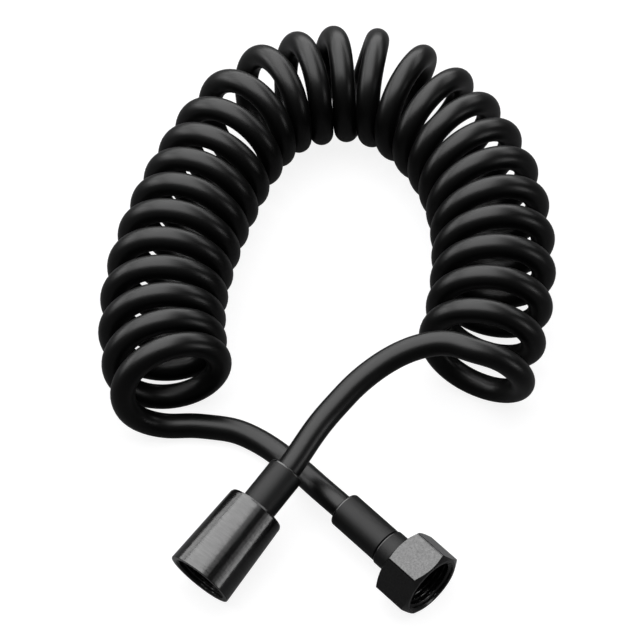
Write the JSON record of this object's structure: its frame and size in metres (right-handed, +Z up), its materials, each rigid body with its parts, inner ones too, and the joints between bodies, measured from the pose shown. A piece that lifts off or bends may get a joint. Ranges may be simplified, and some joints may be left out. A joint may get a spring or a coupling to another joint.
{
  "type": "shower hose",
  "caption": "Coiled black shower hose lying on a table in an arch, with a swivelling hexagon nut on one end and a swivelling cone nut on the other.",
  "frame": {"origin": "on the table, under the middle of the whole hose's bounding box", "axes": "+Z up from the table; +Y from the nuts towards the top of the coil's arch; +X from the arch's left leg to its right leg, with the cone nut on the -X side"},
  "size_m": [0.1658, 0.2468, 0.0452],
  "materials": {
    "hose": "satin black",
    "nut": "fine-grained satin black",
    "insert": "turned",
    "washer": "matt",
    "sleeve": "satin black"
  },
  "bodies": {
    "hose": {"hose_coil": "hose", "hose_tail_hex_end": "hose", "hose_tail_cone_end": "hose", "hex_end_insert": "insert", "hex_end_collar": "sleeve", "hex_end_sleeve": "sleeve", "cone_end_insert": "insert", "cone_end_collar": "sleeve", "cone_end_sleeve": "sleeve"},
    "hex_swivel": {"hex_nut": "nut", "hex_end_washer": "washer"},
    "cone_swivel": {"cone_nut": "nut", "cone_end_washer": "washer"}
  },
  "joints": [
    {"name": "hex_nut_spin", "type": "hinge", "parent": "hose", "child": "hex_swivel", "pos_m": [0.03489, -0.11475, 0.012], "axis": [0.6921, -0.7218, 0], "continuous": true},
    {"name": "cone_nut_spin", "type": "hinge", "parent": "hose", "child": "cone_swivel", "pos_m": [-0.04531, -0.11175, 0.01183], "axis": [-0.6118, -0.7609, -0.2164], "continuous": true}
  ]
}
